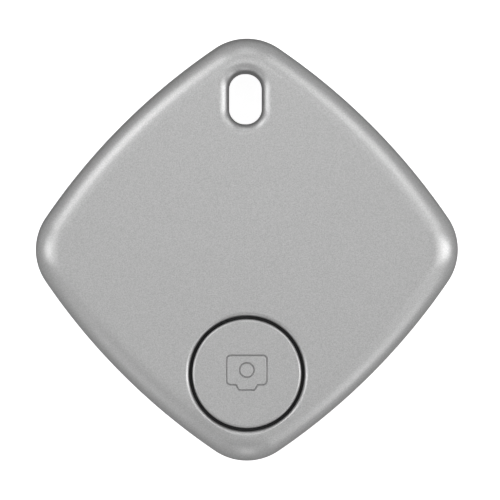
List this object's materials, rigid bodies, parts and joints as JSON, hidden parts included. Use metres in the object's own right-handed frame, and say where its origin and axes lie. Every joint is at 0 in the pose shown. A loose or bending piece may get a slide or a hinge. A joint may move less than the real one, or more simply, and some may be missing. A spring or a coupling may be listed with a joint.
{
  "type": "bluetooth tracker tag",
  "caption": "Flat rounded-diamond key finder tag: snapped two-shell case with a key-ring slot, round push button with camera pictogram, and a turning battery door.",
  "frame": {"origin": "on the rear face, under the middle of the outline", "axes": "+Z out of the front face, +Y from the button to the key-ring slot, +X to the right seen from the front"},
  "size_m": [0.044, 0.044, 0.008],
  "materials": {
    "case_paint": "moulded plastic with satin silver-grey metallic paint, fine grain",
    "black_rubber": "soft matte",
    "cell_steel": "bright, finely turned",
    "cell_seal": "matte",
    "cell_fill": "matte",
    "board_laminate": "glossy solder mask",
    "screw_steel": "bright zinc",
    "black_plastic": "matte moulded",
    "spring_steel": "bright",
    "magnet_iron": "dark sintered",
    "copper": "lacquered wire",
    "mesh_cloth": "fine woven",
    "white_ceramic": "glazed ceramic",
    "tan_ceramic": "fired ceramic"
  },
  "bodies": {
    "case": {"front_shell": "case_paint", "rear_shell": "case_paint", "coin_cell_can": "cell_steel", "coin_cell_cap": "cell_steel", "coin_cell_gasket": "cell_seal", "coin_cell_core": "cell_fill", "circuit_board": "board_laminate", "board_screws": "screw_steel", "switch_base": "black_plastic", "switch_dome": "spring_steel", "switch_cover": "spring_steel", "switch_terminals": "spring_steel", "buzzer_case": "black_plastic", "buzzer_diaphragm": "spring_steel", "buzzer_magnet": "magnet_iron", "buzzer_coil": "copper", "buzzer_yoke": "magnet_iron", "buzzer_gasket": "black_rubber", "sound_mesh": "mesh_cloth", "negative_contact": "spring_steel", "positive_contact": "spring_steel", "bluetooth_chip": "black_plastic", "main_crystal": "spring_steel", "watch_crystal": "spring_steel", "chip_antenna": "white_ceramic", "power_inductor": "magnet_iron", "buzzer_transistor": "black_plastic", "chip_capacitors": "tan_ceramic", "chip_resistors": "black_plastic"},
    "button": {"push_button": "case_paint", "button_seal": "black_rubber"},
    "switch_stem": {"switch_plunger": "black_plastic"},
    "door": {"battery_door": "case_paint", "door_seal": "black_rubber"}
  },
  "joints": [
    {"name": "button_press", "type": "slide", "parent": "case", "child": "button", "axis": [0, 0, -1], "range_m": [0, 0.0002], "stiffness_N_per_m": 1000, "deforming": ["switch_dome"]},
    {"name": "switch_press", "type": "slide", "parent": "case", "child": "switch_stem", "axis": [0, 0, -1], "range_m": [0, 0.0002]},
    {"name": "door_turn", "type": "hinge", "parent": "case", "child": "door", "pos_m": [0, -0.002, 0.001], "axis": [0, 0, -1], "range_deg": [0, 40]}
  ],
  "couplings": [
    {"joint": "switch_press", "follows": "button_press", "ratio": 1}
  ]
}
